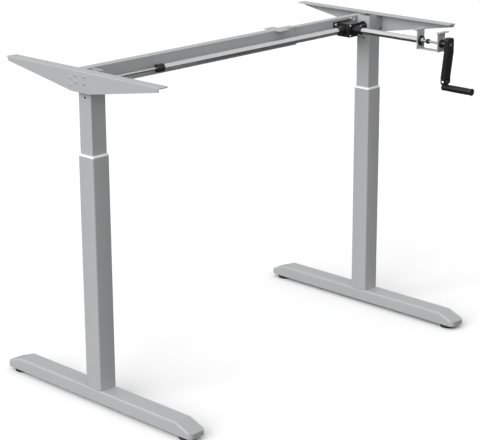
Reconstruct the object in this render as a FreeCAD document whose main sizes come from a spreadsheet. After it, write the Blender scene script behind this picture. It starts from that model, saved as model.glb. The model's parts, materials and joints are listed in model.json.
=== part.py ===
"""Two-leg crank desk frame: a parametric model, in millimetres.

+X runs from the left leg to the right leg, -Y is the user's side, +Z is up.
The origin lies on the floor, in the middle of the outline; the legs stand "setback" behind it.
Places are worked out about the plane of the columns, and each sub-part is then set back.
"""
import FreeCAD, Part
import math
import os

import Sketcher

V = FreeCAD.Vector
doc = FreeCAD.newDocument("desk_frame")

# ---------------------------------------------------------------- driving dimensions
SIZES = {
    # legs
    "column_span": 1010,
    "outer_width": 52,
    "outer_wall": 2,
    "outer_length": 589,
    "inner_width": 44,
    "inner_depth": 43,
    "inner_wall": 1.8,
    "inner_bottom": 165,
    "deck_height": 839.5,
    "slide_gap": 0.3,
    "collar_lip": 5,
    "collar_depth": 40,
    "collar_rim": 3,
    "shoe_height": 45,
    # feet
    "foot_length": 680,
    "foot_width": 52,
    "foot_height": 32,
    "foot_clearance": 11,
    "foot_wall": 2.5,
    "foot_slope": 50,
    "foot_nose": 13,
    "foot_edge": 5,
    "foot_corner": 14,
    "leveller_inset": 35,
    "leveller_radius": 22,
    "leveller_pad": 8,
    "leveller_stud": 4,
    "leveller_length": 26,
    "weld_plate": 6,
    "foot_bolt_radius": 4,
    "foot_bolt_pitch": 30,
    # spindles
    "spindle_radius": 6,
    "spindle_bottom": 160,
    "nut_bottom": 500,
    "nut_height": 28,
    "nut_tube_radius": 12,
    "nut_tube_bore": 8,
    "screw_clearance": 0.05,
    "bearing_height": 9,
    "bearing_radius": 15,
    "bearing_plate": 6,
    # bevel gears
    "gear_radius": 12,
    "gear_teeth": 16,
    "gear_face": 0.66,
    "gear_hub": 5,
    "gear_gap": 0.4,
    # side brackets
    "plate_thickness": 2.5,
    "bracket_offset": 36,
    "bracket_length": 530,
    "bracket_depth": 50.5,
    "bracket_tip": 10.5,
    "bracket_flat": 60,
    "flange_width": 29,
    "flange_overhang": 4,
    "flange_corner": 6,
    "bend_radius": 1.8,
    "desk_hole_radius": 3,
    "desk_hole_edge": 6,
    "desk_hole_outer": 512,
    "desk_hole_inner": 286,
    "frame_bolt_radius": 3,
    "frame_bolt_head": 5,
    "frame_bolt_pitch": 30,
    "frame_bolt_rise": 16,
    # cross beam
    "beam_front": 22,
    "beam_depth": 25.5,
    "beam_height": 48,
    "beam_wall": 1.8,
    "beam_gap": 0.4,
    "outer_beam_end": 233,
    "inner_beam_start": -60,
    "tie_place": 163,
    "tie_width": 34,
    "tie_length": 60,
    "tie_front": -2,
    # cross shaft
    "shaft_drop": 30.5,
    "rod_radius": 3.5,
    "rod_clearance": 0.06,
    "tube_flats": 17,
    "tube_start": -276,
    "clamp_flats": 18.5,
    "clamp_length": 21,
    "rod_end": 150,
    # gearbox
    "gearbox_inset": 85,
    "gearbox_size": 44,
    "gearbox_top": 16.5,
    "gearbox_height": 36,
    "gearbox_boss": 26,
    "gearbox_boss_radius": 11,
    "gearbox_bore": 5.5,
    "gearbox_cavity": 18.5,
    "gear_room": 14,
    "ear_reach": 14,
    # crank
    "crank_tube_flats": 15,
    "crank_tube_end": 258,
    "crank_rod_start": 130,
    "ear_inner": 247,
    "ear_outer": 314,
    "ear_width": 30,
    "ear_tab": 12,
    "ear_tab_width": 40,
    "ear_height": 52.5,
    "bush_wall": 4.34,
    "outer_bush_radius": 11,
    "stop_place": 272,
    "stop_radius": 6.5,
    "arm_place": 340,
    "arm_thickness": 12.5,
    "arm_width": 26,
    "arm_top": 18,
    "arm_corner": 8,
    "arm_lean": 8,
    "pin_drop": 99,
    "pin_radius": 3,
    "grip_drop": 114,
    "grip_radius": 9,
    "grip_end": 419,
}
sheet = doc.addObject("Spreadsheet::Sheet", "dim")
for row, (alias, value) in enumerate(SIZES.items(), 1):
    sheet.set("A%d" % row, alias)
    sheet.set("B%d" % row, str(value))
    sheet.setAlias("B%d" % row, alias)
DERIVED = {
    "setback": "(grip_end - foot_length / 2) / 2",
    "half_span": "column_span / 2",
    "foot_top": "foot_clearance + foot_height",
    "ring_height": "foot_clearance + foot_height + outer_length",
    "plate_under": "deck_height - plate_thickness",
    "shaft_height": "deck_height - shaft_drop",
    "bracket_face": "column_span / 2 + bracket_offset",
    "inner_beam_front": "beam_front + beam_wall + beam_gap",
    "gearbox_place": "column_span / 2 - gearbox_inset",
    "weld_top": "foot_clearance + foot_height + weld_plate",
    "inner_face": "column_span / 2 - inner_width / 2",
    "pin_height": "deck_height - shaft_drop - pin_drop",
    "grip_height": "deck_height - shaft_drop - grip_drop",
    "pin_place": "arm_place - arm_lean",
    "inner_bush_radius": "crank_tube_flats / sqrt(3) + bush_wall",
}
start = len(SIZES) + 1
for row, (alias, formula) in enumerate(DERIVED.items(), start):
    sheet.set("A%d" % row, alias)
    sheet.set("B%d" % row, "=" + formula)
    sheet.setAlias("B%d" % row, alias)
doc.recompute()
NAMES = sorted(list(SIZES) + list(DERIVED), key=len, reverse=True)


def bound(text):
    """An expression on the sheet: each size's name becomes a reference to its cell."""
    words, word = [], ""
    for mark in str(text) + " ":
        if mark.isalnum() or mark in "_.":
            word += mark
            continue
        words.append("dim." + word if word in NAMES else word)
        words.append(mark)
        word = ""
    return "".join(words).strip()


def size(name):
    """A size's value, for the shapes that are worked out in code."""
    return float(getattr(sheet, name))


def place(obj, x, y, z):
    """Binds an object's position to the sheet."""
    for axis, value in zip("xyz", (x, y, z)):
        obj.setExpression("Placement.Base." + axis, bound(value))
    return obj


def box(lx, ly, lz, x, y, z):
    """A block with sides lx, ly and lz, centred on x and y, with its underside at z."""
    obj = doc.addObject("Part::Box", "block")
    obj.setExpression("Length", bound(lx))
    obj.setExpression("Width", bound(ly))
    obj.setExpression("Height", bound(lz))
    return place(obj, "(%s) - (%s) / 2" % (x, lx), "(%s) - (%s) / 2" % (y, ly), z)


TURNS = {
    "z": FreeCAD.Rotation(),
    "x": FreeCAD.Rotation(V(0, 1, 0), 90),
    "-x": FreeCAD.Rotation(V(0, 1, 0), -90),
    "y": FreeCAD.Rotation(V(1, 0, 0), -90),
    "-y": FreeCAD.Rotation(V(1, 0, 0), 90),
}


def rod(radius, length, x, y, z, axis="z"):
    """A round bar that starts at x, y, z and runs along an axis."""
    obj = doc.addObject("Part::Cylinder", "bar")
    obj.setExpression("Radius", bound(radius))
    obj.setExpression("Height", bound(length))
    obj.Placement.Rotation = TURNS[axis]
    return place(obj, x, y, z)


def hexagon(flats, length, x, y, z, axis):
    """A six-sided bar, given across its flats, with a flat on top."""
    obj = doc.addObject("Part::Prism", "hexagon")
    obj.Polygon = 6
    obj.setExpression("Circumradius", bound("(%s) / sqrt(3)" % flats))
    obj.setExpression("Height", bound(length))
    obj.Placement.Rotation = TURNS[axis] * FreeCAD.Rotation(V(0, 0, 1), 30 if axis[-1] == "x" else 0)
    return place(obj, x, y, z)


def fuse(*shapes):
    """Several solids joined into one."""
    if len(shapes) == 1:
        return shapes[0]
    obj = doc.addObject("Part::MultiFuse", "joined")
    obj.Shapes = list(shapes)
    obj.Refine = True
    return obj


def cut(base, *tools):
    """A solid with others taken away."""
    obj = doc.addObject("Part::Cut", "cut")
    obj.Base = base
    obj.Tool = fuse(*tools)
    obj.Refine = True
    return obj


def keep(base, tool):
    """What two solids share."""
    obj = doc.addObject("Part::Common", "shared")
    obj.Base = base
    obj.Tool = tool
    obj.Refine = True
    return obj


def rounded(base, radius, chosen):
    """A solid with a fillet on each edge that chosen() picks."""
    doc.recompute()
    obj = doc.addObject("Part::Fillet", "rounded")
    obj.Base = base
    edges = [i for i, e in enumerate(base.Shape.Edges, 1) if chosen(e)]
    obj.Edges = [(i, size(radius), size(radius)) for i in edges]
    return obj


def along(edge, axis):
    """Whether an edge is straight and runs along an axis."""
    if not isinstance(edge.Curve, Part.Line):
        return False
    return abs(abs(edge.Curve.Direction.dot(axis)) - 1) < 1e-6


PARTS = []


def sub_part(name, *solids):
    """One named sub-part: a single solid, or a group of equal fasteners, set back with the legs."""
    obj = doc.addObject("Part::Compound", name)
    obj.Label = name
    obj.Links = list(solids)
    obj.setExpression("Placement.Base.y", bound("setback"))
    PARTS.append(obj)
    return obj


def outline(body, role, corners):
    """A closed sketch of straight lines on an origin plane, each corner's two places bound to the sheet."""
    sketch = body.newObject("Sketcher::SketchObject", body.Name + "_sketch")
    plane = [f for f in body.Origin.OriginFeatures if f.Role == role][0]
    sketch.AttachmentSupport = [(plane, "")]
    sketch.MapMode = "FlatFace"
    doc.recompute()
    probe = doc.addObject("App::FeaturePython", "probe")
    probe.addProperty("App::PropertyFloat", "Number")
    points = []
    for pair in corners:
        numbers = []
        for text in pair:
            probe.setExpression("Number", bound(text))
            probe.recompute()
            numbers.append(probe.Number)
        points.append(V(numbers[0], numbers[1], 0))
    doc.removeObject(probe.Name)
    count = len(points)
    for i in range(count):
        sketch.addGeometry(Part.LineSegment(points[i], points[(i + 1) % count]), False)
    for i in range(count):
        sketch.addConstraint(Sketcher.Constraint("Coincident", i, 2, (i + 1) % count, 1))
    for i, (across, up) in enumerate(corners):
        for kind, text, value in (("DistanceX", across, points[i].x), ("DistanceY", up, points[i].y)):
            index = sketch.addConstraint(Sketcher.Constraint(kind, -1, 1, i, 1, value))
            sketch.setExpression("Constraints[%d]" % index, bound(text))
    return sketch


def pad(body, sketch, length):
    """A pad of a sketch, half to each side of its plane."""
    feature = body.newObject("PartDesign::Pad", body.Name + "_pad")
    feature.Profile = sketch
    feature.Midplane = True
    feature.setExpression("Length", bound(length))
    return feature


def pocket(body, sketch, length):
    """A pocket of a sketch, half to each side of its plane, which has to take material away."""
    doc.recompute()
    before = body.Shape.Volume
    feature = body.newObject("PartDesign::Pocket", body.Name + "_pocket")
    feature.Profile = sketch
    feature.Midplane = True
    feature.setExpression("Length", bound(length))
    body.Tip = feature
    doc.recompute()
    if body.Shape.Volume >= before:
        raise ValueError(body.Name + ": the pocket takes nothing away")
    return feature


# ---------------------------------------------------------------- feet and outer columns
def make_foot(side, sign):
    """A folded steel channel, open below, whose two ends slope down to a blunt nose."""
    half = "foot_length / 2"
    body = doc.addObject("PartDesign::Body", side + "_foot_channel")
    nose = "foot_clearance + foot_nose"
    flat = half + " - foot_slope"
    outer = [
        ("-" + half, "foot_clearance"),
        (half, "foot_clearance"),
        (half, nose),
        (flat, "foot_top"),
        ("-(%s)" % flat, "foot_top"),
        ("-" + half, nose),
    ]
    pad(body, outline(body, "YZ_Plane", outer), "foot_width")
    inner_flat = "(%s - foot_wall)" % flat
    inner_half = "(%s - foot_corner / 2)" % half
    inner = [
        ("-%s" % inner_half, "foot_clearance - foot_wall"),
        (inner_half, "foot_clearance - foot_wall"),
        (inner_half, "foot_clearance + foot_nose - foot_wall"),
        (inner_flat, "foot_top - foot_wall"),
        ("-%s" % inner_flat, "foot_top - foot_wall"),
        ("-%s" % inner_half, "foot_clearance + foot_nose - foot_wall"),
    ]
    pocket(body, outline(body, "YZ_Plane", inner), "foot_width - 2 * foot_wall")
    place(body, "%d * half_span" % sign, "0", "0")
    channel = rounded(body, "foot_edge", lambda e: on_shoulder(e, sign))
    plan = box("foot_width", "foot_length", "foot_top", "%d * half_span" % sign, "0", "0")
    channel = keep(channel, rounded(plan, "foot_corner", lambda e: along(e, V(0, 0, 1))))
    holes = []
    studs = []
    for end in (-1, 1):
        y = "%d * (foot_length / 2 - leveller_inset)" % end
        x = "%d * half_span" % sign
        studs.append(rod("leveller_radius / 2.4", "leveller_pad", x, y, "foot_clearance"))
        holes.append(rod("leveller_stud + screw_clearance", "leveller_pad * 3", x, y, "foot_clearance - 1"))
    for dx in (-1, 1):
        for dy in (-1, 1):
            x = "%d * half_span + %d * foot_bolt_pitch / 2" % (sign, dx)
            holes.append(rod("foot_bolt_radius", "foot_height", x, "%d * foot_bolt_pitch / 2" % dy, "foot_clearance"))
    bridge = []
    for end in (-1, 1):
        y = "%d * (foot_length / 2 - leveller_inset)" % end
        bridge.append(box("foot_width - 2 * foot_wall", "leveller_radius * 2", "foot_wall", "%d * half_span" % sign, y, "foot_clearance"))
    sub_part(side + "_foot", cut(fuse(channel, *bridge, *studs), *holes))
    bolts = []
    for dx in (-1, 1):
        for dy in (-1, 1):
            x = "%d * half_span + %d * foot_bolt_pitch / 2" % (sign, dx)
            y = "%d * foot_bolt_pitch / 2" % dy
            seat = "foot_top - foot_wall"
            head = rod("foot_bolt_radius * 1.7", "foot_bolt_radius", x, y, seat + " - foot_bolt_radius")
            shank = rod("foot_bolt_radius", "foot_wall + weld_plate", x, y, seat)
            bolts.append(fuse(head, shank))
    sub_part(side + "_foot_bolts", *bolts)


def on_shoulder(edge, sign):
    """Whether an edge of the foot lies on one of its sides, above its open underside."""
    middle = edge.CenterOfMass
    out = abs(abs(middle.x - sign * size("half_span")) - size("foot_width") / 2) < 0.01
    return out and middle.z > size("foot_clearance") + 1


def make_levellers(side, sign):
    """Screw-in levelling feet: a round pad on a threaded stud, one under each end of the foot."""
    for name, end in (("front", -1), ("rear", 1)):
        x = "%d * half_span" % sign
        y = "%d * (foot_length / 2 - leveller_inset)" % end
        lower = rod("leveller_radius", "leveller_pad / 2", x, y, "0")
        upper = doc.addObject("Part::Cone", "pad_cone")
        upper.setExpression("Radius1", bound("leveller_radius"))
        upper.setExpression("Radius2", bound("leveller_radius * 0.75"))
        upper.setExpression("Height", bound("leveller_pad / 2"))
        place(upper, x, y, "leveller_pad / 2")
        stud = rod("leveller_stud", "leveller_length", x, y, "leveller_pad / 2")
        sub_part("%s_%s_leveller" % (side, name), fuse(lower, upper, stud))


def make_outer_column(side, sign):
    """The fixed square tube with its base plate welded inside, tapped for the foot bolts."""
    x = "%d * half_span" % sign
    tube = box("outer_width", "outer_width", "outer_length", x, "0", "foot_top")
    hollow = "outer_width - 2 * outer_wall"
    bore = box(hollow, hollow, "outer_length", x, "0", "foot_top + weld_plate")
    holes = []
    for dx in (-1, 1):
        for dy in (-1, 1):
            across = "%s + %d * foot_bolt_pitch / 2" % (x, dx)
            holes.append(rod("foot_bolt_radius", "weld_plate", across, "%d * foot_bolt_pitch / 2" % dy, "foot_top"))
    shell = cut(tube, bore, *holes)
    shell = rounded(shell, "outer_wall", lambda e: along(e, V(0, 0, 1)) and on_corner(e, sign))
    sub_part(side + "_outer_column", shell)


def on_corner(edge, sign):
    """Whether an upright edge is one of the outer column's four outside corners."""
    middle = edge.CenterOfMass
    half = size("outer_width") / 2
    return abs(abs(middle.x - sign * size("half_span")) - half) < 0.01 and abs(abs(middle.y) - half) < 0.01


def make_collar(side, sign):
    """The plastic guide pressed into the top of the outer column, with a thin lip over its edge."""
    x = "%d * half_span" % sign
    hollow = "outer_width - 2 * outer_wall"
    sleeve = box(hollow, hollow, "collar_depth + 1", x, "0", "ring_height - collar_depth")
    lip_size = "outer_width - 2"
    lip = box(lip_size, lip_size, "collar_lip", x, "0", "ring_height")
    way = "2 * slide_gap"
    opening = box("inner_width + " + way, "inner_depth + " + way, "outer_length", x, "0", "ring_height - collar_depth - 1")
    sub_part(side + "_glide_collar", cut(fuse(sleeve, lip), opening))


def make_nut(side, sign):
    """The standing tube, with the long nut brazed in its top, through which the spindle screws."""
    x = "%d * half_span" % sign
    tube = rod("nut_tube_radius", "nut_bottom + nut_height - weld_top", x, "0", "weld_top")
    bore = rod("nut_tube_bore", "nut_bottom - weld_top", x, "0", "weld_top")
    neck = rod("spindle_radius + screw_clearance", "nut_height", x, "0", "nut_bottom")
    sub_part(side + "_nut_tube", cut(tube, bore, neck))


# ---------------------------------------------------------------- inner columns and drive heads
def make_inner_column(side, sign):
    """The lifting tube, bored for the shaft, for the bracket bolts and for a tool hole on each face."""
    x = "%d * half_span" % sign
    height = "plate_under - inner_bottom"
    tube = box("inner_width", "inner_depth", height, x, "0", "inner_bottom")
    bore = box("inner_width - 2 * inner_wall", "inner_depth - 2 * inner_wall", "deck_height", x, "0", "inner_bottom - 1")
    face = "%d * inner_face" % sign
    inward = "-x" if sign > 0 else "x"
    outward = "x" if sign > 0 else "-x"
    holes = [rod("gearbox_bore + 2.5", "inner_width / 2", x, "0", "shaft_height", inward)]
    for dy in (-1, 1):
        for dz in (0, 1):
            up = "shaft_height + 3 + %d * frame_bolt_rise" % dz
            across = "%d * frame_bolt_pitch / 2" % dy
            holes.append(rod("frame_bolt_radius", "inner_width", x, across, up, outward))
    holes.append(rod("desk_hole_radius", "inner_width * 2", "%s - inner_width" % x, "0", "shaft_height - 34", "x"))
    holes.append(rod("desk_hole_radius", "inner_depth", x, "0", "shaft_height + 21", "-y"))
    shell = cut(tube, bore, *holes)
    sub_part(side + "_inner_column", shell)


def make_shoe(side, sign):
    """The plastic shoe under the inner column, which slides in the outer column."""
    x = "%d * half_span" % sign
    slide = "outer_width - 2 * outer_wall - 2 * slide_gap"
    foot = box(slide, slide, "shoe_height / 3", x, "0", "inner_bottom - shoe_height / 3")
    plug = box("inner_width - 2 * inner_wall", "inner_depth - 2 * inner_wall", "shoe_height * 2 / 3", x, "0", "inner_bottom")
    way = rod("nut_tube_radius + 3", "shoe_height * 2", x, "0", "inner_bottom - shoe_height")
    sub_part(side + "_glide_shoe", cut(fuse(foot, plug), way))


def make_head(side, sign):
    """The bearing plate across the inner column, with the bearing that carries the spindle."""
    x = "%d * half_span" % sign
    low = "shaft_height - gear_radius - gear_hub - bearing_height - bearing_plate - gear_gap"
    plate = box("inner_width - 2 * inner_wall", "inner_depth - 2 * inner_wall", "bearing_plate + bearing_height - 1", x, "0", low)
    seat = rod("bearing_radius", "bearing_height", x, "0", low + " + bearing_plate")
    way = rod("spindle_radius + 1", "bearing_plate", x, "0", low)
    sub_part(side + "_bearing_plate", cut(plate, seat, way))
    ring = rod("bearing_radius", "bearing_height - 1", x, "0", low + " + bearing_plate")
    neck = rod("spindle_radius + screw_clearance", "bearing_height", x, "0", low + " + bearing_plate")
    sub_part(side + "_spindle_bearing", cut(ring, neck))
    top = "shaft_height - gear_radius * gear_face - 1"
    sub_part(side + "_spindle", rod("spindle_radius", top + " - spindle_bottom", x, "0", "spindle_bottom"))


def bevel_gear(name, bore, facing, phase, x, y, z):
    """A straight bevel gear at 45 degrees. Its teeth run from the large end to a copy of it scaled
    towards the apex, where the two shafts cross; "facing" turns its axis, and phase turns its teeth."""
    radius = size("gear_radius")
    teeth = int(size("gear_teeth"))
    inner = size("gear_face")
    module = 2 * radius / teeth
    tip = 0.7 * module / math.sqrt(2)
    root = 1.0 * module / math.sqrt(2)
    half = 0.19 * math.pi * module
    lean = math.tan(math.radians(20))
    tip_half = half - 0.7 * module * lean
    root_half = half + 1.0 * module * lean
    big = V(radius - root, 0, -radius - root)
    small = big * inner
    hub = -radius - root - size("gear_hub")
    blank = Part.Face(Part.makePolygon([
        V(0, 0, small.z), small, big, V(radius * 0.7, 0, hub), V(0, 0, hub), V(0, 0, small.z),
    ])).revolve(V(0, 0, 0), V(0, 0, 1), 360)
    sunk = 0.3
    corners = [
        V(radius - root - sunk, -root_half, -radius - root - sunk),
        V(radius + tip, -tip_half, -radius + tip),
        V(radius + tip, tip_half, -radius + tip),
        V(radius - root - sunk, root_half, -radius - root - sunk),
    ]
    ring = Part.makePolygon(corners + corners[:1])
    near = Part.makePolygon([c * inner for c in corners + corners[:1]])
    tooth = Part.makeLoft([ring, near], True, True)
    wheel = blank
    for i in range(teeth):
        one = tooth.copy()
        one.rotate(V(0, 0, 0), V(0, 0, 1), 360 * (i + phase) / teeth)
        wheel = wheel.fuse(one)
    hole = Part.makeCylinder(bore, radius * 4, V(0, 0, -radius * 4))
    wheel = wheel.cut(hole).removeSplitter()
    obj = doc.addObject("Part::Feature", name + "_wheel")
    obj.Shape = wheel
    obj.Placement = FreeCAD.Placement(V(0, 0, 0), facing)
    place(obj, x, y, z)
    return obj


UP = FreeCAD.Rotation()
# the gear on each shaft stands on the side that the shaft comes from
FROM_PLUS_X = FreeCAD.Rotation(V(0, 1, 0), -90)
FROM_MINUS_X = FreeCAD.Rotation(V(0, 1, 0), 90)
FROM_MINUS_Y = FreeCAD.Rotation(V(1, 0, 0), -90)


def make_column_gears(side, sign):
    """The bevel pair at the top of a column: one wheel on the spindle, one on the cross shaft."""
    x = "%d * half_span" % sign
    spindle_bore = size("spindle_radius")
    wheel = bevel_gear(side + "_spindle_gear", spindle_bore, UP, 0.0, x, "0", "shaft_height")
    sub_part(side + "_spindle_gear", wheel)
    facing = FROM_MINUS_X if sign > 0 else FROM_PLUS_X
    bore = size("rod_radius")
    wheel = bevel_gear(side + "_shaft_gear", bore, facing, 0.5, x, "0", "shaft_height")
    sub_part(side + "_shaft_gear", wheel)
    inward = "-x" if sign > 0 else "x"
    wall = "%d * (inner_face + inner_wall)" % sign
    flange = rod("gearbox_boss_radius + 1.5", "4", "%d * inner_face" % sign, "0", "shaft_height", inward)
    sleeve = rod("gearbox_bore + 2.5", "inner_wall + 1", wall, "0", "shaft_height", inward)
    way = rod("rod_radius + rod_clearance", "40", "%s + %d * 20" % (wall, sign), "0", "shaft_height", inward)
    sub_part(side + "_shaft_bush", cut(fuse(flange, sleeve), way))


# ---------------------------------------------------------------- brackets, beam and fasteners
def make_bracket(side, sign):
    """The side bracket: an upright web outside the column that tapers to both ends, folded in to a top flange."""
    half = "bracket_length / 2"
    low = "deck_height - bracket_depth"
    tip = "deck_height - bracket_tip"
    web = doc.addObject("PartDesign::Body", side + "_bracket_web")
    profile = [
        ("-bracket_flat / 2", low),
        ("bracket_flat / 2", low),
        (half, tip),
        (half, "deck_height"),
        ("-" + half, "deck_height"),
        ("-" + half, tip),
    ]
    pad(web, outline(web, "YZ_Plane", profile), "plate_thickness")
    place(web, "%d * (bracket_face - plate_thickness / 2)" % sign, "0", "0")
    length = "bracket_length + 2 * flange_overhang"
    centre = "%d * (bracket_face - flange_width / 2)" % sign
    flange = box("flange_width", length, "plate_thickness", centre, "0", "plate_under")
    flange = rounded(flange, "flange_corner", lambda e: on_inner_corner(e))
    angle = rounded(fuse(web, flange), "bend_radius", lambda e: on_bend(e))
    holes = []
    for span in ("desk_hole_outer", "desk_hole_inner"):
        for end in (-1, 1):
            x = "%d * (bracket_face - flange_width + desk_hole_edge)" % sign
            holes.append(rod("desk_hole_radius", "plate_thickness * 2", x, "%d * %s / 2" % (end, span), "plate_under - 1"))
    outward = "x" if sign > 0 else "-x"
    inside = "%d * (bracket_face - plate_thickness - 1)" % sign
    for y, z in frame_bolt_places():
        holes.append(rod("frame_bolt_radius", "plate_thickness + 2", inside, y, z, outward))
    sub_part(side + "_bracket", cut(angle, *holes))
    gap = "bracket_offset - inner_width / 2 - plate_thickness"
    centre = "%d * (half_span + inner_width / 2 + (%s) / 2)" % (sign, gap)
    block = box(gap, "inner_depth", "frame_bolt_rise + 20", centre, "0", "plate_under - frame_bolt_rise - 20")
    start = "%d * half_span" % sign
    ways = [rod("frame_bolt_radius", "bracket_offset", start, y, z, outward) for y, z in frame_bolt_places()[:4]]
    sub_part(side + "_spacer_block", cut(block, *ways))
    bolts = []
    for i, (y, z) in enumerate(frame_bolt_places()):
        shank = "bracket_offset - inner_width / 2 + inner_wall" if i < 4 else "plate_thickness * 2"
        face = "%d * bracket_face" % sign
        head = rod("frame_bolt_head", "frame_bolt_radius", face, y, z, outward)
        inward = "-x" if sign > 0 else "x"
        bolts.append(fuse(head, rod("frame_bolt_radius", shank, face, y, z, inward)))
    sub_part(side + "_frame_bolts", *bolts)


def on_inner_corner(edge):
    """Whether an edge is one of a flange's two upright corners away from the web."""
    return along(edge, V(0, 0, 1)) and abs(edge.CenterOfMass.x) < size("bracket_face") - 1


def on_bend(edge):
    """Whether an edge is the outer edge of the fold between a bracket's web and its flange."""
    middle = edge.CenterOfMass
    at_face = abs(abs(middle.x) - size("bracket_face")) < 0.01
    return along(edge, V(0, 1, 0)) and at_face and abs(middle.z - size("deck_height")) < 0.01


def frame_bolt_places():
    """Four bolts into the column and two into the end of the cross beam."""
    places = []
    for end in (-1, 1):
        for step in (0, 1):
            places.append(("%d * frame_bolt_pitch / 2" % end, "shaft_height + 3 + %d * frame_bolt_rise" % step))
    for step in (0, 1):
        places.append(("beam_front + beam_depth / 2", "shaft_height - 5 + %d * frame_bolt_rise" % step))
    return places


def beam_tube(gap, wall, first, last):
    """A rectangular beam tube, smaller than the outer one by gap all round, from first to last along X."""
    depth = "(beam_depth - 2 * (%s))" % gap
    height = "(beam_height - 2 * (%s))" % gap
    middle = "((%s) + (%s)) / 2" % (first, last)
    length = "(%s) - (%s)" % (last, first)
    low = "plate_under - beam_height + (%s)" % gap
    y = "beam_front + beam_depth / 2"
    tube = box(length, depth, height, middle, y, low)
    bore = box(length + " + 2", depth + " - 2 * " + wall, height + " - 2 * " + wall, middle, y, low + " + " + wall)
    return cut(tube, bore)


def beam_end(sign, gap):
    """The plate welded across the end of a beam, with two bolt holes."""
    depth = "(beam_depth - 2 * (%s) - 2 * beam_wall)" % gap
    height = "(beam_height - 2 * (%s) - 2 * beam_wall)" % gap
    x = "%d * (bracket_face - 1.5 * plate_thickness)" % sign
    low = "plate_under - beam_height + (%s) + beam_wall" % gap
    plate = box("plate_thickness", depth, height, x, "beam_front + beam_depth / 2", low)
    start = "%d * (bracket_face - plate_thickness * 3)" % sign
    outward = "x" if sign > 0 else "-x"
    holes = [rod("frame_bolt_radius", "bracket_offset", start, y, z, outward) for y, z in frame_bolt_places()[4:]]
    return plate, holes


def make_beam():
    """The cross beam: the right section slides in the left one, and a tie plate lies across their joint."""
    end = "bracket_face - plate_thickness"
    plate, holes = beam_end(-1, "0")
    outer = fuse(beam_tube("0", "beam_wall", "-(%s)" % end, "outer_beam_end"), plate)
    y = "beam_front + beam_depth / 2"
    screws = []
    tie_screw = "beam_wall * 0.9"
    for dx in (-1, 1):
        x = "tie_place + %d * tie_width / 4" % dx
        holes.append(rod("frame_bolt_radius", "beam_wall * 2", x, y, "plate_under - beam_wall * 1.5"))
        head = rod("frame_bolt_head", "plate_thickness / 2", x, y, "deck_height - plate_thickness / 2")
        shank = rod("frame_bolt_radius", "plate_thickness / 2 + " + tie_screw, x, y, "plate_under - " + tie_screw)
        screws.append(fuse(head, shank))
    holes.append(rod("desk_hole_radius - 0.5", "beam_wall * 2", "outer_beam_end - 6", "beam_front - 1", "shaft_height + 19", "y"))
    sub_part("outer_beam", cut(outer, *holes))
    gap = "beam_wall + beam_gap"
    plate, holes = beam_end(1, gap)
    for dx in (-1, 1):
        x = "gearbox_place + %d * (gearbox_size / 2 + ear_reach / 2)" % dx
        holes.append(rod("frame_bolt_radius", "beam_wall * 4", x, "beam_front", "shaft_height + 11", "y"))
    for place_x, place_z in lock_screw_places():
        holes.append(rod("frame_bolt_radius - 0.5", "beam_wall * 4", place_x, "beam_front", place_z, "y"))
    sub_part("inner_beam", cut(fuse(beam_tube(gap, "beam_wall", "inner_beam_start", end), plate), *holes))
    tie = box("tie_width", "tie_length", "plate_thickness", "tie_place", "tie_front + tie_length / 2", "plate_under")
    ways = []
    for dx in (-1, 1):
        x = "tie_place + %d * tie_width / 4" % dx
        ways.append(rod("frame_bolt_head", "plate_thickness", x, y, "deck_height - plate_thickness / 2"))
        ways.append(rod("frame_bolt_radius", "plate_thickness * 2", x, y, "plate_under - 1"))
    tie_end = "tie_front + desk_hole_edge"
    ways.append(rod("desk_hole_radius", "plate_thickness * 2", "tie_place", tie_end, "plate_under - 1"))
    sub_part("tie_plate", cut(tie, *ways))
    sub_part("tie_screws", *screws)


# ---------------------------------------------------------------- cross shaft and gearbox
def make_cross_shaft():
    """A round rod from the left column telescopes in a six-sided tube, which a clamp collar grips."""
    reach = "half_span - gear_radius * gear_face - 1"
    sub_part("cross_rod", rod("rod_radius", reach + " + rod_end", "-(%s)" % reach, "0", "shaft_height", "x"))
    stop = "gearbox_place - gearbox_size / 2 - gearbox_boss - 0.5"
    tube = hexagon("tube_flats", stop + " - tube_start", "tube_start", "0", "shaft_height", "x")
    bore = rod("rod_radius + rod_clearance", "column_span", "tube_start - 1", "0", "shaft_height", "x")
    sub_part("hex_tube", cut(tube, bore))
    collar = hexagon("clamp_flats", "clamp_length", "tube_start - clamp_length", "0", "shaft_height", "x")
    bore = rod("rod_radius + rod_clearance", "column_span", "tube_start - clamp_length - 1", "0", "shaft_height", "x")
    sub_part("clamp_collar", cut(collar, bore))
    start = stop + " - 30"
    end = "half_span - gear_radius * gear_face - 1"
    sub_part("output_shaft", rod("rod_radius", "%s - (%s)" % (end, start), start, "0", "shaft_height", "x"))


def lock_screw_places():
    """The two screws in the beam's face above the gearbox's right ear."""
    return (("gearbox_place + 40", "shaft_height + 20"), ("gearbox_place + 53", "shaft_height + 14"))


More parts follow.
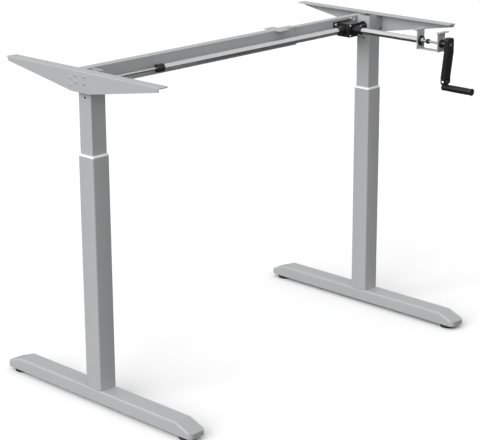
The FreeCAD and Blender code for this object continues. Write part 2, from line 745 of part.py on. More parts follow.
def make_gearbox():
    """The gearbox on the beam's face: two half shells that meet in the shafts' plane, and a bevel pair."""
    x = "gearbox_place"
    z = "shaft_height"
    side = "gearbox_size"
    cube = box(side, side, "gearbox_height", x, "0", z + " + gearbox_top - gearbox_height")
    reach = "gearbox_size / 2 + gearbox_boss"
    bosses = [
        rod("gearbox_boss_radius", reach, x, "0", z, "-x"),
        rod("gearbox_boss_radius", "gearbox_size / 2 + 4", x, "0", z, "x"),
        rod("gearbox_boss_radius", reach, x, "0", z, "-y"),
    ]
    ears = "gearbox_size + 2 * ear_reach"
    ear = box(ears, "4", "16", x, "inner_beam_front - 2", z + " + 3")
    low = z + " - gear_room"
    reach = "(gear_room + gearbox_cavity)"
    shift = "(gearbox_cavity - gear_room) / 2"
    hollow = fuse(
        box(reach, "2 * gear_room", "2 * gear_room", "%s + %s" % (x, shift), "0", low),
        box("2 * gear_room", reach, "2 * gear_room", x, "-" + shift, low),
    )
    ways = [
        rod("rod_radius + rod_clearance", "gearbox_size * 3", "gearbox_place - gearbox_size * 1.5", "0", z, "x"),
        rod("gearbox_bore + screw_clearance", "gearbox_size * 2", x, "0", z, "-y"),
    ]
    screw_ways, screws = [], []
    for dx, dz in ((-1, "12"), (-1, "-15"), (1, "-16.75")):
        across = "gearbox_place + %d * (gearbox_size / 2 - 4)" % dx
        up = "%s + %s" % (z, dz)
        front = "-gearbox_size / 2"
        screw_ways.append(rod("1.5", "gearbox_size / 2 + 10", across, front, up, "y"))
        head = rod("3", "2", across, front + " - 2", up, "y")
        screws.append(fuse(head, rod("1.5", "gearbox_size / 2 + 10", across, front, up, "y")))
    for dx in (-1, 1):
        across = "gearbox_place + %d * (gearbox_size / 2 + ear_reach / 2)" % dx
        up = "shaft_height + 11"
        rear = "inner_beam_front"
        screw_ways.append(rod("frame_bolt_radius", "10", across, rear + " - 6", up, "y"))
        head = rod("frame_bolt_head", "2.5", across, rear + " - 6.5", up, "y")
        shank = rod("frame_bolt_radius", "7", across, rear + " - 4", up, "y")
        screws.append(fuse(head, shank))
    for x_stop, z_stop in lock_screw_places():
        head = rod("4", "2.3", x_stop, "inner_beam_front - 2.3", z_stop, "y")
        screws.append(fuse(head, rod("frame_bolt_radius - 0.5", "beam_wall", x_stop, "inner_beam_front", z_stop, "y")))
    whole = cut(fuse(cube, ear, *bosses), hollow, *ways, *screw_ways)
    room = "gearbox_size * 4"
    front_half = box(room, room, room, x, "-(%s) / 2" % room, z + " - gearbox_size * 2")
    rear_half = box(room, room, room, x, "(%s) / 2" % room, z + " - gearbox_size * 2")
    sub_part("gearbox_front", keep(whole, front_half))
    sub_part("gearbox_rear", keep(whole, rear_half))
    sub_part("gearbox_screws", *screws)
    wheel = bevel_gear("output_gear", size("rod_radius"), FROM_PLUS_X, 0.5, x, "0", z)
    sub_part("output_gear", wheel)
    pinion = bevel_gear("input_pinion", 1.0, FROM_MINUS_Y, 0.0, x, "0", z)
    first = "gear_radius * gear_face + 0.5"
    stub = rod("gearbox_bore - 0.5", "gearbox_size / 2 + gearbox_boss + 30 - gear_radius", x, "-gear_radius", z, "-y")
    sub_part("input_pinion", fuse(pinion, stub))


# ---------------------------------------------------------------- crank
def make_crank():
    """The crank: a six-sided tube from the gearbox, a rod that slides in it, and a folding handle."""
    x = "gearbox_place"
    z = "shaft_height"
    first = "gearbox_size / 2 + gearbox_boss + 0.5"
    tube = hexagon("crank_tube_flats", "crank_tube_end - (%s)" % first, x, "-(%s)" % first, z, "-y")
    bore = rod("gearbox_bore - 0.5 + screw_clearance / 5", "crank_tube_end", x, "-(%s) + 1" % first, z, "-y")
    sub_part("crank_tube", cut(tube, bore))
    plunger = rod("gearbox_bore - 0.5 - screw_clearance", "12", x, "-crank_rod_start", z, "-y")
    length = "arm_place + arm_thickness / 2 - crank_rod_start"
    sub_part("crank_rod", fuse(rod("rod_radius", length, x, "-crank_rod_start", z, "-y"), plunger))
    ring = rod("stop_radius", "7", x, "3.5 - stop_place", z, "-y")
    way = rod("rod_radius", "20", x, "10 - stop_place", z, "-y")
    sub_part("stop_collar", cut(ring, way))
    low = "deck_height - ear_height"
    height = "ear_height"
    pieces = []
    for sign, y in ((1, "ear_inner"), (-1, "ear_outer")):
        ear = box("ear_width", "plate_thickness", height, x, "-" + y, low)
        tab_y = "-%s + %d * (ear_tab - plate_thickness) / 2" % (y, sign)
        tab = box("ear_tab_width", "ear_tab", "plate_thickness", x, tab_y, "plate_under")
        pieces += [ear, tab]
    middle = "-(ear_inner + ear_outer) / 2"
    span = "ear_outer - ear_inner + plate_thickness"
    pieces.append(box("ear_width * 0.6", span, "plate_thickness", x, middle, low))
    holes = [
        rod("inner_bush_radius - 3", "8", x, "4 - ear_inner", z, "-y"),
        rod("outer_bush_radius - 3", "8", x, "4 - ear_outer", z, "-y"),
    ]
    for sign, y in ((1, "ear_inner"), (-1, "ear_outer")):
        for dx in (-1, 1):
            tab_y = "-%s + %d * (ear_tab - desk_hole_edge)" % (y, sign)
            across = "%s + %d * ear_tab_width / 4" % (x, dx)
            holes.append(rod("desk_hole_radius - 0.5", "plate_thickness * 2", across, tab_y, "plate_under - 1"))
    sub_part("crank_bracket", cut(fuse(*pieces), *holes))
    half = "plate_thickness / 2"
    for name, radius, y, bore in (
        ("inner_bush", "inner_bush_radius", "ear_inner", "crank_tube_flats / sqrt(3) + slide_gap / 3"),
        ("outer_bush", "outer_bush_radius", "ear_outer", "rod_radius + rod_clearance"),
    ):
        rim = rod(radius, "5", x, "-%s - %s" % (y, half), z, "-y")
        neck = rod(radius + " - 3", "plate_thickness", x, "-%s + %s" % (y, half), z, "-y")
        back = rod(radius, "3", x, "-%s + %s + 3" % (y, half), z, "-y")
        way = rod(bore, "30", x, "-%s + 15" % y, z, "-y")
        sub_part(name, cut(fuse(rim, neck, back), way))
    make_handle()


def make_handle():
    """The flat crank arm leans back to the pin, on which the knuckle and its turning grip fold up."""
    arm = doc.addObject("PartDesign::Body", "arm_blank")
    t = "arm_thickness / 2"
    top = "shaft_height + arm_top"
    low = "pin_height - 6.8"
    profile = [
        ("-pin_place - " + t, "pin_height - 3"),
        ("-pin_place - 2", low),
        ("-pin_place + 2", low),
        ("-pin_place + " + t, "pin_height - 3"),
        ("-pin_place + " + t, "pin_height + 12"),
        ("-arm_place + " + t, "shaft_height - 20"),
        ("-arm_place + " + t, top),
        ("-arm_place - " + t, top),
        ("-arm_place - " + t, "shaft_height - 20"),
        ("-pin_place - " + t, "pin_height + 12"),
    ]
    pad(arm, outline(arm, "YZ_Plane", profile), "arm_width")
    place(arm, "gearbox_place", "0", "0")
    arm = rounded(arm, "arm_corner", lambda e: along(e, V(0, 1, 0)) and e.CenterOfMass.z > size("shaft_height"))
    x = "gearbox_place"
    slot = box("arm_width / 2 + 0.6", "arm_thickness * 3", "22", x, "-pin_place", "pin_height - 14")
    ways = [
        rod("rod_radius", "60", x, "30 - arm_place", "shaft_height", "-y"),
        rod("pin_radius", "arm_width * 2", "gearbox_place - arm_width", "-pin_place", "pin_height", "x"),
    ]
    sub_part("crank_arm", cut(arm, slot, *ways))
    span = "arm_width + 4"
    sub_part("fold_pin", rod("pin_radius", span, "gearbox_place - (%s) / 2" % span, "-pin_place", "pin_height", "x"))
    tongue = rod("6", "arm_width / 2", "gearbox_place - arm_width / 4", "-pin_place", "pin_height", "x")
    drop = "pin_height - grip_height"
    web = box("arm_width / 2", "12", drop, x, "-pin_place", "grip_height")
    boss = rod("grip_radius - 0.5", "15", x, "7 - pin_place", "grip_height", "-y")
    cap = box("arm_width * 2", "40", "20", x, "-pin_place", "pin_height - 7.4")
    axle = rod("3", "grip_end - pin_place - 6", x, "-pin_place", "grip_height", "-y")
    way = rod("pin_radius + screw_clearance", "60", "gearbox_place - 30", "-pin_place", "pin_height", "x")
    sub_part("knuckle", cut(fuse(tongue, web, cut(boss, cap), axle), way))
    first = "pin_place + 8.5"
    grip = rod("grip_radius", "grip_end - (%s) - 4" % first, x, "-(%s)" % first, "grip_height", "-y")
    bore = rod("3 + screw_clearance", "200", x, "-(%s) + 1" % first, "grip_height", "-y")
    sub_part("grip", cut(grip, bore))
    sub_part("grip_cap", rod("grip_radius + 0.7", "4", x, "4 - grip_end", "grip_height", "-y"))


for side_name, side_sign in (("left", -1), ("right", 1)):
    make_foot(side_name, side_sign)
    make_levellers(side_name, side_sign)
    make_outer_column(side_name, side_sign)
    make_collar(side_name, side_sign)
    make_nut(side_name, side_sign)
    make_inner_column(side_name, side_sign)
    make_shoe(side_name, side_sign)
    make_head(side_name, side_sign)
    make_column_gears(side_name, side_sign)
    make_bracket(side_name, side_sign)
make_beam()
make_cross_shaft()
make_gearbox()
make_crank()

doc.recompute()
for obj in doc.Objects:
    if "Invalid" in obj.State or "Error" in obj.State:
        raise ValueError("%s (%s) failed: %s" % (obj.Label, obj.TypeId, obj.State))
for obj in PARTS:
    if obj.Shape.isNull() or not obj.Shape.isValid() or not obj.Shape.Solids:
        raise ValueError(obj.Label + " has no valid solid")
os.makedirs("parts", exist_ok=True)
for obj in PARTS:
    obj.Shape.exportStep("parts/%s.step" % obj.Label)
    print(obj.Label, len(obj.Shape.Solids), round(obj.Shape.Volume))
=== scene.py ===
"""The look of a two-leg crank desk frame: metres, feet on z = 0, crank towards -Y."""
import bmesh
import bpy
import json
import math
import numpy as np
from mathutils import Matrix, Vector


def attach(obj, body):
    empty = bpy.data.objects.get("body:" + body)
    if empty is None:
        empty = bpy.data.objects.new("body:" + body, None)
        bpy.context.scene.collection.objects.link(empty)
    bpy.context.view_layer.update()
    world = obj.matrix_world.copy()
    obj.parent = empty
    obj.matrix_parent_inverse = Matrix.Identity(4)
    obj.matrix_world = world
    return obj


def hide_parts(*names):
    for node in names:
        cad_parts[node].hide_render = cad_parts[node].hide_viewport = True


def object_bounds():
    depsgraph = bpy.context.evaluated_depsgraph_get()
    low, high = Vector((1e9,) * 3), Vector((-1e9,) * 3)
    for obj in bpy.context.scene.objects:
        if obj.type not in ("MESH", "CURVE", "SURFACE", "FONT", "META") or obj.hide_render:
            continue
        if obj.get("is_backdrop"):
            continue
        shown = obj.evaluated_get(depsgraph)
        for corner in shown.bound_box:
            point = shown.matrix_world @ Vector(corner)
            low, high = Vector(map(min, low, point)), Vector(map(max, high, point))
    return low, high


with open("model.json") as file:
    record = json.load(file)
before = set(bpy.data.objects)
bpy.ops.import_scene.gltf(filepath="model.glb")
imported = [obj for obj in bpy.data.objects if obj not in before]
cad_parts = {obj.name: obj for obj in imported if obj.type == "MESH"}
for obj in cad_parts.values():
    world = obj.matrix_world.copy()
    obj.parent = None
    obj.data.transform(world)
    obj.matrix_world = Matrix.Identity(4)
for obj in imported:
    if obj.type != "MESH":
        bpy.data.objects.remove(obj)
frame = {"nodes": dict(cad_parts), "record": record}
cad_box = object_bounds()

MM = 0.001
SETBACK = 39.5          # the legs' plane behind the origin
HALF_SPAN = 505.0       # a leg's middle from the origin
SHAFT = 809.0           # height of the cross shaft and the crank's axis
CRANK = 420.0           # the crank's place across
GRIP = SHAFT - 114.0    # height of the grip's axis
FOLD = (-332.0, SHAFT - 99.0)   # the folding pin's place: depth and height
PAD_PLACE = 305.0       # a levelling pad from the leg's middle, front or rear
BRACKET_FACE = 541.0    # a side bracket's outer face from the origin
RIM = 632.0             # height of the outer column's rim
CENTRE_BORE = 0.01      # radius that closes a turned piece at its axis
SMOOTH_ANGLE = 35       # degrees; sharper edges of a made piece stay sharp
BREAK_ANGLE = 30        # degrees; sharper edges of a modelled node are bevelled
BREAK_SEGMENTS = 2
PER_CORNER = 7          # points round one corner of a rounded square


# ------------------------------------------------------------------ surfaces
def mesh_object(name, points, faces):
    """A mesh object from points in millimetres, about the legs' plane, and a list of faces."""
    data = bpy.data.meshes.new(name)
    places = (points + np.array([0.0, SETBACK, 0.0])) * MM
    data.from_pydata(places.tolist(), [], faces)
    data.validate()
    data.update()
    data.polygons.foreach_set("use_smooth", np.ones(len(data.polygons), dtype=bool))
    data.set_sharp_from_angle(angle=math.radians(SMOOTH_ANGLE))
    obj = bpy.data.objects.new(name, data)
    bpy.context.scene.collection.objects.link(obj)
    return obj


def tube_faces(rings, around, closed):
    """Quads between neighbouring rings of a grid. Closed joins the last ring to the first; else both
    ends are filled."""
    row = np.arange(rings if closed else rings - 1)[:, None]
    col = np.arange(around)[None, :]
    up, side = (row + 1) % rings, (col + 1) % around
    quads = np.stack([row * around + col, row * around + side,
                      up * around + side, up * around + col], -1)
    faces = quads.reshape(-1, 4).tolist()
    if not closed:
        faces.append(list(range(around))[::-1])
        faces.append(list(range((rings - 1) * around, rings * around)))
    return faces


def outward(obj):
    """Turns every face of a closed mesh to look outwards."""
    work = bmesh.new()
    work.from_mesh(obj.data)
    bmesh.ops.remove_doubles(work, verts=work.verts, dist=1e-7)
    bmesh.ops.recalc_face_normals(work, faces=work.faces)
    work.to_mesh(obj.data)
    work.free()
    return obj


AXES = {
    "z": np.array([[1, 0, 0], [0, 1, 0], [0, 0, 1]], float),
    "-y": np.array([[1, 0, 0], [0, 0, 1], [0, -1, 0]], float),
    "x": np.array([[0, 1, 0], [0, 0, 1], [1, 0, 0]], float),
    "-x": np.array([[0, 1, 0], [0, 0, 1], [-1, 0, 0]], float),
}


def turned(profile, centre, axis="z", around=48, shape=None, closed=False):
    """Points and faces of a turned piece. Each (height, radius) of the profile goes round the axis:
    point = centre + radius * f(angle) * (cos angle, sin angle) + height along the axis,
    with f = 1 unless shaped."""
    angle = np.linspace(0, 2 * np.pi, around, endpoint=False)
    height = np.array([p[0] for p in profile], float)[:, None]
    radius = np.array([p[1] for p in profile], float)[:, None]
    factor = np.ones((len(profile), around))
    if shape is not None:
        factor = shape(height, radius, angle[None, :])
    local = np.stack([radius * factor * np.cos(angle), radius * factor * np.sin(angle),
                      height + 0 * factor], -1)
    points = local.reshape(-1, 3) @ AXES[axis] + np.array(centre, float)
    return points, tube_faces(len(profile), around, closed)


def joined(parts):
    """Several (points, faces) made one."""
    points, faces, count = [], [], 0
    for some, quads in parts:
        points.append(some)
        faces += [[i + count for i in face] for face in quads]
        count += len(some)
    return np.concatenate(points), faces


def square_ring(half_x, half_y, radius):
    """A rounded rectangle as points: each corner is its centre plus radius * (cos, sin) of a quarter
    turn."""
    quarter = np.linspace(0, np.pi / 2, PER_CORNER)
    points = []
    for k, (sx, sy) in enumerate(((1, 1), (-1, 1), (-1, -1), (1, -1))):
        angle = quarter + k * np.pi / 2
        points.append(np.stack([sx * (half_x - radius) + radius * np.cos(angle),
                                sy * (half_y - radius) + radius * np.sin(angle)], -1))
    return np.concatenate(points)


def square_stack(stations, centre, closed=True):
    """A square tube or block: rounded rectangles (height, half x, half y, corner radius) up Z."""
    around = 4 * PER_CORNER
    rings = [np.column_stack([square_ring(a, b, r), np.full(around, z)]) for z, a, b, r in stations]
    return np.concatenate(rings) + np.array(centre, float), tube_faces(len(rings), around, closed)


def piece(name, shape, body, slot, *nodes):
    """A finished piece: its mesh, the body it moves with, its finish and the nodes it stands for."""
    obj = outward(mesh_object(name, *shape))
    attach(obj, body)
    if nodes:
        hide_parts(*nodes)
    dress(obj, slot)
    return obj


def softened(node, body, slot, width):
    """A modelled node's own shape with broken edges: merged, flat faces joined, then bevelled."""
    source = frame["nodes"][node]
    data = source.data.copy()
    data.name = node + "_finished"
    work = bmesh.new()
    work.from_mesh(data)
    bmesh.ops.remove_doubles(work, verts=work.verts, dist=1e-6)
    flat = math.radians(0.5)
    bmesh.ops.dissolve_limit(work, angle_limit=flat, verts=work.verts, edges=work.edges)
    for face in work.faces:
        face.smooth = True
    work.to_mesh(data)
    work.free()
    data.materials.clear()
    data.set_sharp_from_angle(angle=math.radians(BREAK_ANGLE))
    obj = bpy.data.objects.new(node + "_finished", data)
    bpy.context.scene.collection.objects.link(obj)
    bevel = obj.modifiers.new("broken edges", "BEVEL")
    bevel.width = width * MM
    bevel.segments = BREAK_SEGMENTS
    bevel.limit_method = "ANGLE"
    bevel.angle_limit = math.radians(BREAK_ANGLE)
    bevel.harden_normals = True
    bevel.use_clamp_overlap = True
    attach(obj, body)
    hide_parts(node)
    dress(obj, slot)
    return obj


# ------------------------------------------------------------------ finishes
class Value:
    """A shader socket that takes part in Python expressions: each operator adds one Math node."""

    def __init__(self, tree, socket):
        self.tree, self.socket = tree, socket

    def node(self, kind, settings=None, **inputs):
        """A node of any kind: its settings are set first, then the values or links of its sockets."""
        made = self.tree.nodes.new(kind)
        for key, value in (settings or {}).items():
            if key == "ramp":
                while len(made.color_ramp.elements) < len(value):
                    made.color_ramp.elements.new(0.5)
                for stop, (place, colour) in zip(made.color_ramp.elements, value):
                    stop.position, stop.color = place, colour
            else:
                setattr(made, key, value)
        for key, value in inputs.items():
            numbered = key[0] == "i" and key[1:].isdigit()
            target = made.inputs[int(key[1:]) if numbered else key.replace("_", " ")]
            if isinstance(value, Value):
                self.tree.links.new(value.socket, target)
            else:
                target.default_value = value
        return made

    def out(self, node, index=0):
        return Value(self.tree, node.outputs[index])

    def math(self, operation, other):
        return self.out(self.node("ShaderNodeMath", {"operation": operation}, i0=self, i1=other))

    def __add__(self, other): return self.math("ADD", other)
    def __radd__(self, other): return self.math("ADD", other)
    def __mul__(self, other): return self.math("MULTIPLY", other)


def new_finish(name, **uniform):
    """A material with its shader's even values set, and an Object-coordinate socket for patterns."""
    made = bpy.data.materials.new(name)
    made.use_nodes = True
    shader = made.node_tree.nodes["Principled BSDF"]
    for key, value in uniform.items():
        shader.inputs[key.replace("_", " ")].default_value = value
    place = made.node_tree.nodes.new("ShaderNodeTexCoord")
    return made, shader, Value(made.node_tree, place.outputs["Object"])


def noise(place, scale, detail=3.0, rough=0.5, stretch=None):
    """Noise over the object's own coordinates, drawn out along an axis when stretch is given."""
    if stretch:
        place = place.out(place.node("ShaderNodeMapping", None, Vector=place, Scale=stretch))
    made = place.node("ShaderNodeTexNoise", None,
                      Vector=place, Scale=scale, Detail=detail, Roughness=rough)
    return place.out(made)


def tint(mask, dark, light):
    """A colour that runs from dark to light with the mask."""
    made = mask.node("ShaderNodeMix", {"data_type": "RGBA"},
                     i0=mask, i6=(*dark, 1.0), i7=(*light, 1.0))
    return mask.out(made, 2)


def join(value, shader, socket):
    value.tree.links.new(value.socket, shader.inputs[socket])


def bump(height, shader, strength, distance):
    made = height.node("ShaderNodeBump", None, Height=height, Strength=strength, Distance=distance)
    join(height.out(made), shader, "Normal")


def powder_coat(name, colour, roughness):
    """Powder coat: an even colour with a faint cloud, an orange-peel grain and varied gloss."""
    spread = 0.05
    made, shader, place = new_finish(name, Metallic=0.0, Specular_IOR_Level=0.5)
    cloud = noise(place, 9.0, 4.0, 0.6)
    peel = noise(place, 1400.0, 2.0, 0.4)
    speck = noise(place, 420.0, 2.0, 0.7)
    dark = tuple(c * (1 - spread) for c in colour)
    light = tuple(min(1.0, c * (1 + spread)) for c in colour)
    join(tint(cloud * 0.7 + speck * 0.3, dark, light), shader, "Base Color")
    join(roughness - 0.06 + cloud * 0.08 + peel * 0.04, shader, "Roughness")
    bump(peel * 0.7 + speck * 0.3, shader, 0.35, 0.00012)
    return made


def metal(name, colour, roughness, stretch, scale=260.0):
    """Bright metal with fine drawing lines along the bar and faint clouds in its gloss."""
    made, shader, place = new_finish(name, Metallic=1.0)
    lines = noise(place, scale, 4.0, 0.65, stretch)
    cloud = noise(place, 30.0, 3.0)
    dark = tuple(c * 0.82 for c in colour)
    join(tint(lines * 0.6 + cloud * 0.4, dark, colour), shader, "Base Color")
    join(roughness - 0.08 + lines * 0.12 + cloud * 0.06, shader, "Roughness")
    bump(lines, shader, 0.2, 0.00008)
    return made


def moulded(name, colour, roughness, grain, depth):
    """Moulded plastic or rubber with a spark-eroded grain."""
    made, shader, place = new_finish(name, Metallic=0.0, Specular_IOR_Level=0.45)
    cloud = noise(place, 24.0, 3.0)
    pits = noise(place, grain, 2.0, 0.6)
    dark = tuple(c * 0.85 for c in colour)
    light = tuple(min(1.0, c * 1.15) for c in colour)
    join(tint(cloud * 0.5 + pits * 0.5, dark, light), shader, "Base Color")
    join(roughness - 0.05 + pits * 0.12, shader, "Roughness")
    bump(pits, shader, 0.4, depth)
    return made


FINISHES = {
    "grey_paint": powder_coat("grey powder coat", (0.385, 0.39, 0.395), 0.36),
    "black_paint": powder_coat("black powder coat", (0.010, 0.010, 0.011), 0.33),
    "black_plastic": moulded("black plastic", (0.009, 0.009, 0.0095), 0.34, 1500.0, 0.0001),
    "white_plastic": moulded("white guide plastic", (0.88, 0.88, 0.87), 0.4, 1800.0, 0.00005),
    "black_rubber": moulded("black pad rubber", (0.02, 0.02, 0.02), 0.7, 900.0, 0.0002),
    "bright_steel": metal("bright steel", (0.80, 0.80, 0.81), 0.26, (0.05, 1.0, 1.0)),
    "zinc_fasteners": metal("zinc plate", (0.74, 0.75, 0.77), 0.34, (1.0, 1.0, 1.0), 500.0),
    "aluminium_tube": metal("drawn aluminium", (0.86, 0.86, 0.87), 0.27, (0.03, 1.0, 1.0)),
}


def dress(obj, slot):
    """Gives a piece its finish."""
    obj.data.materials.clear()
    obj.data.materials.append(FINISHES[slot])


# ------------------------------------------------------------------ the pieces
slots = {s["node"]: s["material_slot"] for s in frame["record"]["subparts"]}
homes = {n: body for body, nodes in frame["record"]["behaviour"]["bodies"].items() for n in nodes}
for node, obj in frame["nodes"].items():
    dress(obj, slots[node])

for side in ("left", "right"):
    for node, width in (("foot", 0.8), ("inner_column", 1.6), ("bracket", 0.9), ("glide_shoe", 0.5)):
        softened(side + "_" + node, homes[side + "_" + node], slots[side + "_" + node], width)
for node, width in (("outer_beam", 1.4), ("inner_beam", 1.2), ("tie_plate", 0.5),
                    ("gearbox_front", 1.5), ("gearbox_rear", 1.5), ("crank_bracket", 0.8),
                    ("crank_arm", 1.8), ("hex_tube", 0.5), ("crank_tube", 0.5),
                    ("clamp_collar", 0.7), ("crank_rod", 0.3), ("knuckle", 0.8)):
    softened(node, homes[node], slots[node], width)


def outer_column(sign):
    """The outer column: rounded squares up the outside, over the rim and down to the base plate."""
    foot_top, plate_top, half, inside = 43.0, 49.2, 26.0, 24.0
    stations = [
        (foot_top, half - 1, half - 1, 3.0), (foot_top + 0.8, half, half, 4.0),
        (RIM - 0.6, half, half, 4.0), (RIM, half - 0.5, half - 0.5, 3.5),
        (RIM, inside + 0.4, inside + 0.4, 2.4), (RIM - 0.4, inside, inside, 2.0),
        (plate_top, inside, inside, 2.0),
    ]
    return square_stack(stations, (sign * HALF_SPAN, 0, 0), closed=False)


def glide_collar(sign):
    """The guide collar: a sleeve inside the column, a rounded lip over its rim, and the way through."""
    low, seat, lip, top = RIM - 39.8, RIM + 0.1, RIM + 3.6, RIM + 4.9
    sleeve, flange, bore_x, bore_y = 23.9, 25.3, 22.35, 21.85
    stations = [
        (low, sleeve, sleeve, 2.0), (seat, sleeve, sleeve, 2.0),
        (seat, flange, flange, 3.5), (lip, flange, flange, 3.5),
        (top, 24.4, 24.2, 3.0), (top, 22.9, 22.4, 1.5),
        (top - 1.0, bore_x, bore_y, 1.2), (low, bore_x, bore_y, 1.2),
    ]
    return square_stack(stations, (sign * HALF_SPAN, 0, 0))


def levelling_pad(sign, y):
    """A levelling pad on its stud: a turned disc, its rim's radius times 1 + depth * cos(30 angle)."""
    stud, stud_top, rim, depth = 4.0, 30.0, 20.0, 0.012
    profile = [(0, CENTRE_BORE), (0, 20.4), (0.8, 21.6), (3.4, 21.6), (4.4, 20.6), (7.2, 16.6),
               (8.0, 15.4), (8.0, stud), (stud_top - 0.6, stud), (stud_top, stud - 0.6),
               (stud_top, CENTRE_BORE)]

    def knurl(height, radius, angle):
        return 1 + np.where(radius > rim, depth, 0) * np.cos(30 * angle)
    return turned(profile, (sign * HALF_SPAN, y, 0), "z", 180, knurl)


def button_bolt(centre, axis, radius, head, shank_radius, shank):
    """A domed bolt with a six-sided socket: the head's height falls with the radius squared, and the
    socket's radius follows a hexagon, flat / cos(angle from the nearest flat)."""
    across = radius * 0.5
    profile = [(head * 0.35, CENTRE_BORE), (head * 0.35, across), (head, across)]
    for t in np.linspace(0.55, 1.0, 7):
        profile.append((head * (1 - 0.75 * ((t - 0.5) / 0.5) ** 2), radius * t))
    profile += [(0, radius), (0, shank_radius), (-shank, shank_radius), (-shank, CENTRE_BORE)]

    def hexed(height, rad, angle):
        near = (angle + np.pi / 6) % (np.pi / 3) - np.pi / 6
        inside = (rad <= across + 1e-6) & (height > 0)
        return np.where(inside, 0.9 / np.cos(near), 1.0)
    return turned(profile, centre, axis, 36, hexed)


for side, sign in (("left", -1), ("right", 1)):
    base, upper = side + "_base", side + "_frame"
    piece(side + "_column_tube", outer_column(sign), base, "grey_paint", side + "_outer_column")
    piece(side + "_collar", glide_collar(sign), base, "white_plastic", side + "_glide_collar")
    for end, y in (("front", -PAD_PLACE), ("rear", PAD_PLACE)):
        corner = "%s_%s" % (side, end)
        piece(corner + "_pad", levelling_pad(sign, y), corner + "_foot_pad", "black_rubber",
              corner + "_leveller")
    outer = "x" if sign > 0 else "-x"
    bolts = []
    for y in (-15.0, 15.0):
        for z in (812.0, 828.0):
            bolts.append(button_bolt((sign * BRACKET_FACE, y, z), outer, 4.0, 2.2, 2.95, 15.6))
    for z in (804.0, 820.0):
        bolts.append(button_bolt((sign * BRACKET_FACE, 34.75, z), outer, 4.4, 1.4, 2.95, 4.9))
    piece(side + "_bracket_bolts", joined(bolts), upper, "grey_paint", side + "_frame_bolts")

screws = []
for dx, dz in ((-18.0, 12.0), (-18.0, -15.0), (18.0, -16.75)):
    screws.append(button_bolt((CRANK + dx, -22.0, SHAFT + dz), "-y", 3.0, 1.95, 1.45, 31.0))
for dx in (-29.0, 29.0):
    screws.append(button_bolt((CRANK + dx, 20.2, SHAFT + 11.0), "-y", 5.0, 2.45, 2.95, 6.8))
for dx, dz in ((40.0, 20.0), (53.0, 14.0)):
    screws.append(button_bolt((CRANK + dx, 24.2, SHAFT + dz), "-y", 4.0, 2.25, 2.45, 1.7))
piece("gearbox_bolts", joined(screws), "right_frame", "zinc_fasteners", "gearbox_screws")


def hand_grip():
    """The grip: a turned sleeve, fuller in the middle, with rounded shoulders and five grooves."""
    first, last, bore = 340.6, 414.9, 3.06
    along = np.linspace(0, 1, 60)
    swell = 8.35 + 0.6 * np.sin(np.pi * along) ** 0.6
    groove = sum(np.exp(-((along - k) / 0.012) ** 2) for k in (0.3, 0.4, 0.5, 0.6, 0.7))
    radius = swell - 0.35 * groove
    radius[0], radius[-1] = radius[0] - 0.8, radius[-1] - 0.5
    skin = [(first + t * (last - first), r) for t, r in zip(along, radius)]
    profile = [(first, bore)] + skin + [(last, bore)]
    return turned(profile, (CRANK, 0, GRIP), "-y", 64, None, True)


def grip_end():
    """The grip's cap: a turned button with a rounded rim and a dished face."""
    profile = [(415.05, CENTRE_BORE), (415.05, 8.6), (415.6, 9.5), (417.6, 9.6), (418.6, 8.9),
               (418.9, 7.6), (418.3, 6.6), (418.1, CENTRE_BORE)]
    return turned(profile, (CRANK, 0, GRIP), "-y", 64)


def flanged_bush(place, radius, bore):
    """A bush in an ear of the crank bracket: a turned flange on both faces and a neck through it."""
    half_ear, slack, neck = 1.25, 0.05, radius - 3.1
    low, high = place - half_ear - 3.0, place + half_ear + 5.0
    rear, front = place - half_ear - slack, place + half_ear + slack
    profile = [(low, bore), (low, radius - 0.7), (low + 0.7, radius), (rear, radius), (rear, neck),
               (front, neck), (front, radius), (high - 1.2, radius), (high, radius - 1.2),
               (high, bore)]
    return turned(profile, (CRANK, 0, SHAFT), "-y", 64, None, True)


def stop_ring():
    """The stop collar: a turned ring with broken edges."""
    low, high, bore, radius, edge = 268.6, 275.4, 3.52, 6.5, 0.6
    profile = [(low, bore), (low, radius - edge), (low + edge, radius), (high - edge, radius),
               (high, radius - edge), (high, bore)]
    return turned(profile, (CRANK, 0, SHAFT), "-y", 48, None, True)


def fold_rivet():
    """The pin that the grip folds on: a turned shank with a domed head at both ends."""
    half, rise, radius, shank = 13.1, 1.7, 4.6, 2.9
    sweep = np.linspace(np.pi / 2, 0.02, 8)
    dome = [(half + rise * np.cos(a), radius * np.sin(a)) for a in sweep]
    low = [(-h, r) for h, r in dome[::-1]]
    profile = low + [(-half, shank), (half, shank)] + dome
    return turned(profile, (CRANK, *FOLD), "x", 40)


piece("fold_rivet", fold_rivet(), "crank_handle", "bright_steel", "fold_pin")
piece("hand_grip", hand_grip(), "handle_grip", "black_plastic", "grip")
piece("hand_grip_cap", grip_end(), "handle_grip", "black_plastic", "grip_cap")
for name, place, radius, bore, node in (("rear_ear_bush", 247.0, 13.0, 8.72, "inner_bush"),
                                        ("front_ear_bush", 314.0, 11.0, 3.56, "outer_bush")):
    piece(name, flanged_bush(place, radius, bore), "right_frame", "black_plastic", node)
piece("rod_stop", stop_ring(), "crank_handle", "black_paint", "stop_collar")

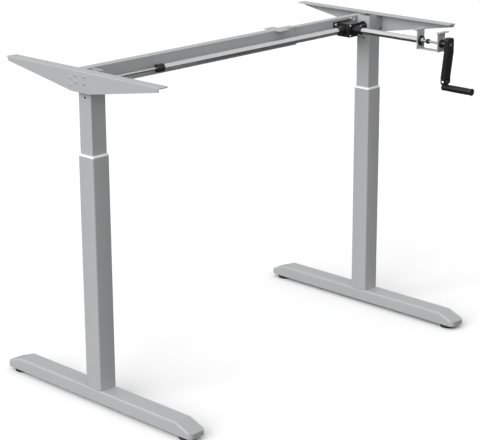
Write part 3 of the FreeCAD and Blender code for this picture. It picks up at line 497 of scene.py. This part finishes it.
# ------------------------------------------------------------------ floor, light and camera
floor_data = bpy.data.meshes.new("floor")
reach = 40
floor_data.from_pydata([(-reach, -reach, 0), (reach, -reach, 0), (reach, reach, 0),
                        (-reach, reach, 0)], [], [(0, 1, 2, 3)])
floor = bpy.data.objects.new("floor", floor_data)
bpy.context.scene.collection.objects.link(floor)
floor_paint = new_finish("floor", Base_Color=(0.93, 0.93, 0.93, 1), Roughness=0.9)[0]
floor_data.materials.append(floor_paint)
floor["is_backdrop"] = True

world = bpy.data.worlds.new("studio")
bpy.context.scene.world = world
world.use_nodes = True
sky_place = world.node_tree.nodes.new("ShaderNodeTexCoord")
sky = Value(world.node_tree, sky_place.outputs["Generated"])
split = sky.node("ShaderNodeSeparateXYZ", None, Vector=sky)
rise = sky.out(split, 2) * 0.5 + 0.5
greys = ((0.0, 0.04), (0.46, 0.13), (0.55, 0.85), (0.75, 0.80), (1.0, 0.66))
stops = [(height, (grey, grey, grey, 1)) for height, grey in greys]
ramp = rise.node("ShaderNodeValToRGB", {"ramp": stops}, Fac=rise)
background = world.node_tree.nodes["Background"]
world.node_tree.links.new(ramp.outputs[0], background.inputs["Color"])
background.inputs["Strength"].default_value = 0.9
floor.visible_diffuse = False
floor.visible_glossy = False


def lamp(name, towards, strength, spread):
    """A soft distant lamp that shines along "towards"."""
    data = bpy.data.lights.new(name, "SUN")
    data.energy = strength
    data.angle = math.radians(spread)
    obj = bpy.data.objects.new(name, data)
    obj.rotation_euler = Vector(towards).to_track_quat("-Z", "Y").to_euler()
    bpy.context.scene.collection.objects.link(obj)


lamp("key", (0.95, 0.08, -0.5), 2.9, 60)
lamp("fill", (0.2, 0.6, -0.6), 0.25, 60)

yaw, pitch, roll = math.radians(45.974), math.radians(-17.124), math.radians(-0.288)
ahead = Vector((math.sin(yaw) * math.cos(pitch), math.cos(yaw) * math.cos(pitch),
                math.sin(pitch)))
right = ahead.cross(Vector((0, 0, 1))).normalized()
up = right.cross(ahead)
right_rolled = math.cos(roll) * right + math.sin(roll) * up
up_rolled = math.cos(roll) * up - math.sin(roll) * right
camera = bpy.data.objects.new("camera", bpy.data.cameras.new("camera"))
camera.data.sensor_width = 36.0
camera.data.lens = 121.98
camera.data.shift_x = -0.0008
camera.data.shift_y = -0.0018
camera.data.clip_end = 200
turn = Matrix((right_rolled, up_rolled, -ahead)).transposed()
camera.matrix_world = Matrix.Translation((-2.9402, -2.8346 + SETBACK * MM, 1.6186)) @ turn.to_4x4()
bpy.context.scene.collection.objects.link(camera)
bpy.context.scene.camera = camera
bpy.context.scene.view_settings.view_transform = "Standard"


def plain(value):
    """Nested vectors as plain lists of numbers."""
    try:
        return [plain(v) for v in value]
    except TypeError:
        return float(value)


{"cad": plain(cad_box), "visual": plain(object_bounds())}
